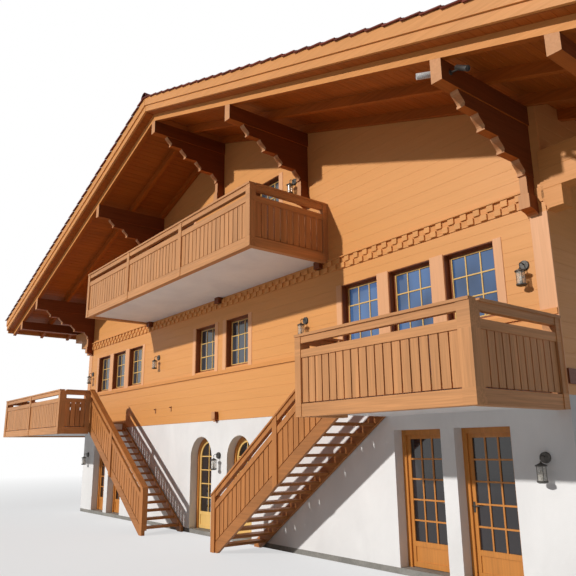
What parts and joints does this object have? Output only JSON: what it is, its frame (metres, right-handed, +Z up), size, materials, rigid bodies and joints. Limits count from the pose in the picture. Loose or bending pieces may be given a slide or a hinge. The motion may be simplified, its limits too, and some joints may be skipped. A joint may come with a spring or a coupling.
{
  "type": "alpine chalet",
  "caption": "Large alpine chalet with a plastered ground floor, timber upper floors, carved roof consoles, balconies, outside stairs and hinged ground floor doors.",
  "frame": {"origin": "on the ground at the middle of the house's plan", "axes": "+Z up, the front gable faces -Y, +X to the right seen from the front"},
  "size_m": [22.985, 15.78, 10.83],
  "materials": {
    "plaster": "matt",
    "slab": "matt",
    "timber": "oiled",
    "dark_timber": "oiled",
    "light_timber": "oiled",
    "joinery": "varnished",
    "yellow_joinery": "varnished",
    "roof_timber": "matt",
    "floor_timber": "matt",
    "glass": "clear",
    "iron": "matt"
  },
  "bodies": {
    "house": {"ground_slab": "slab", "front_base_piers": "plaster", "front_base_lintels": "plaster", "side_base_walls": "plaster", "back_base_wall": "plaster", "door_frames": "joinery", "floors": "floor_timber", "front_wall": "timber", "back_wall": "timber", "side_walls": "timber", "gable_walls": "timber", "window_frames": "light_timber", "window_glass": "glass", "purlins": "dark_timber", "rafters": "dark_timber", "roof_left": "roof_timber", "roof_right": "roof_timber", "verge_boards": "light_timber", "eave_boards": "light_timber", "consoles": "dark_timber", "console_posts": "light_timber", "corner_corbels": "light_timber", "balcony_slabs": "plaster", "upper_front_balustrade": "timber", "upper_side_balustrades": "timber", "lower_front_balustrades": "timber", "lower_side_balustrades": "timber", "stair_treads": "dark_timber", "stair_stringers": "dark_timber", "stair_balustrades": "timber", "wall_mouldings": "light_timber", "sill_and_bearer_beams": "dark_timber", "wall_lanterns": "iron"},
    "right_outer_leaf": {"right_outer_door": "joinery", "right_outer_glass": "glass"},
    "right_inner_leaf": {"right_inner_door": "joinery", "right_inner_glass": "glass"},
    "left_outer_leaf": {"left_outer_door": "joinery", "left_outer_glass": "glass"},
    "left_inner_leaf": {"left_inner_door": "joinery", "left_inner_glass": "glass"},
    "right_arched_leaf": {"right_arched_door": "yellow_joinery", "right_arched_glass": "glass"},
    "left_arched_leaf": {"left_arched_door": "yellow_joinery", "left_arched_glass": "glass"}
  },
  "joints": [
    {"name": "right_outer_hinge", "type": "hinge", "parent": "house", "child": "right_outer_leaf", "pos_m": [7.944, -5.186, 1.2], "axis": [0, 0, -1], "range_deg": [0, 100]},
    {"name": "right_inner_hinge", "type": "hinge", "parent": "house", "child": "right_inner_leaf", "pos_m": [5.786, -5.186, 1.2], "axis": [0, 0, 1], "range_deg": [0, 100]},
    {"name": "left_outer_hinge", "type": "hinge", "parent": "house", "child": "left_outer_leaf", "pos_m": [-7.944, -5.186, 1.2], "axis": [0, 0, 1], "range_deg": [0, 100]},
    {"name": "left_inner_hinge", "type": "hinge", "parent": "house", "child": "left_inner_leaf", "pos_m": [-5.786, -5.186, 1.2], "axis": [0, 0, -1], "range_deg": [0, 100]},
    {"name": "right_arched_hinge", "type": "hinge", "parent": "house", "child": "right_arched_leaf", "pos_m": [1.322, -5.186, 1.2], "axis": [0, 0, -1], "range_deg": [0, 100]},
    {"name": "left_arched_hinge", "type": "hinge", "parent": "house", "child": "left_arched_leaf", "pos_m": [-1.322, -5.186, 1.2], "axis": [0, 0, 1], "range_deg": [0, 100]}
  ]
}
